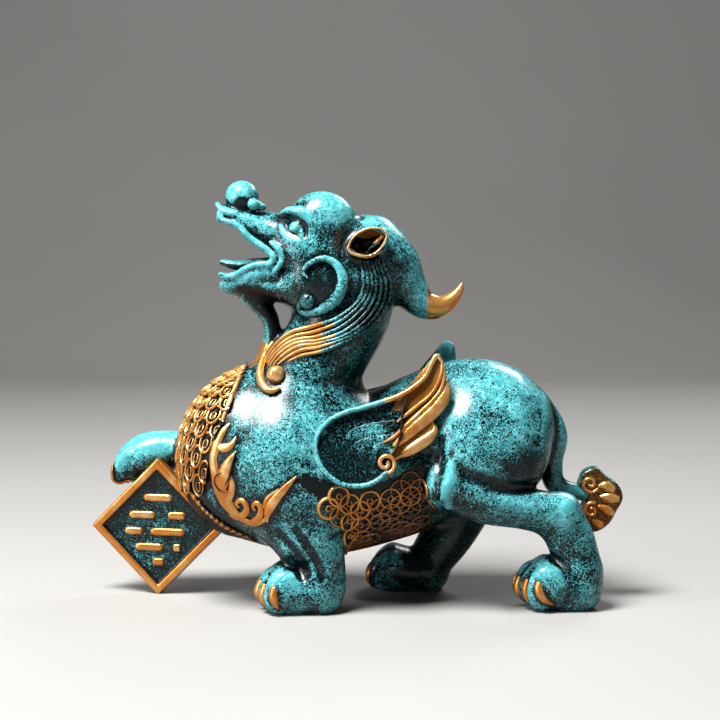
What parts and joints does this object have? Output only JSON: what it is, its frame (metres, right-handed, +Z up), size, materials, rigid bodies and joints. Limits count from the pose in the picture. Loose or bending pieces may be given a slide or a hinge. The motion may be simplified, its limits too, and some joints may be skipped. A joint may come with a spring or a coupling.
{
  "type": "pixiu figure",
  "caption": "Winged, horned lion-like beast striding with its head thrown back and a forepaw raised on a diamond plaque; a cast desk or shelf ornament that stands on its paws.",
  "frame": {"origin": "on the standing surface, under the middle of the figure's bounding box", "axes": "-X the way the beast strides, +Y towards its far flank with the raised forepaw, +Z up from the standing surface"},
  "size_m": [0.224, 0.076, 0.1733],
  "materials": {
    "patina": "cast resin painted as old bronze: glossy teal patina speckled black, pale gold rubbed on the raised carving",
    "gilding": "metallic gold paint, worn to orange-bronze in the hollows, on the claws, mane tips, wing feathers, flames, nets and plaque frame"
  },
  "bodies": {
    "root": {"pixiu_figure": "patina"}
  },
  "joints": []
}
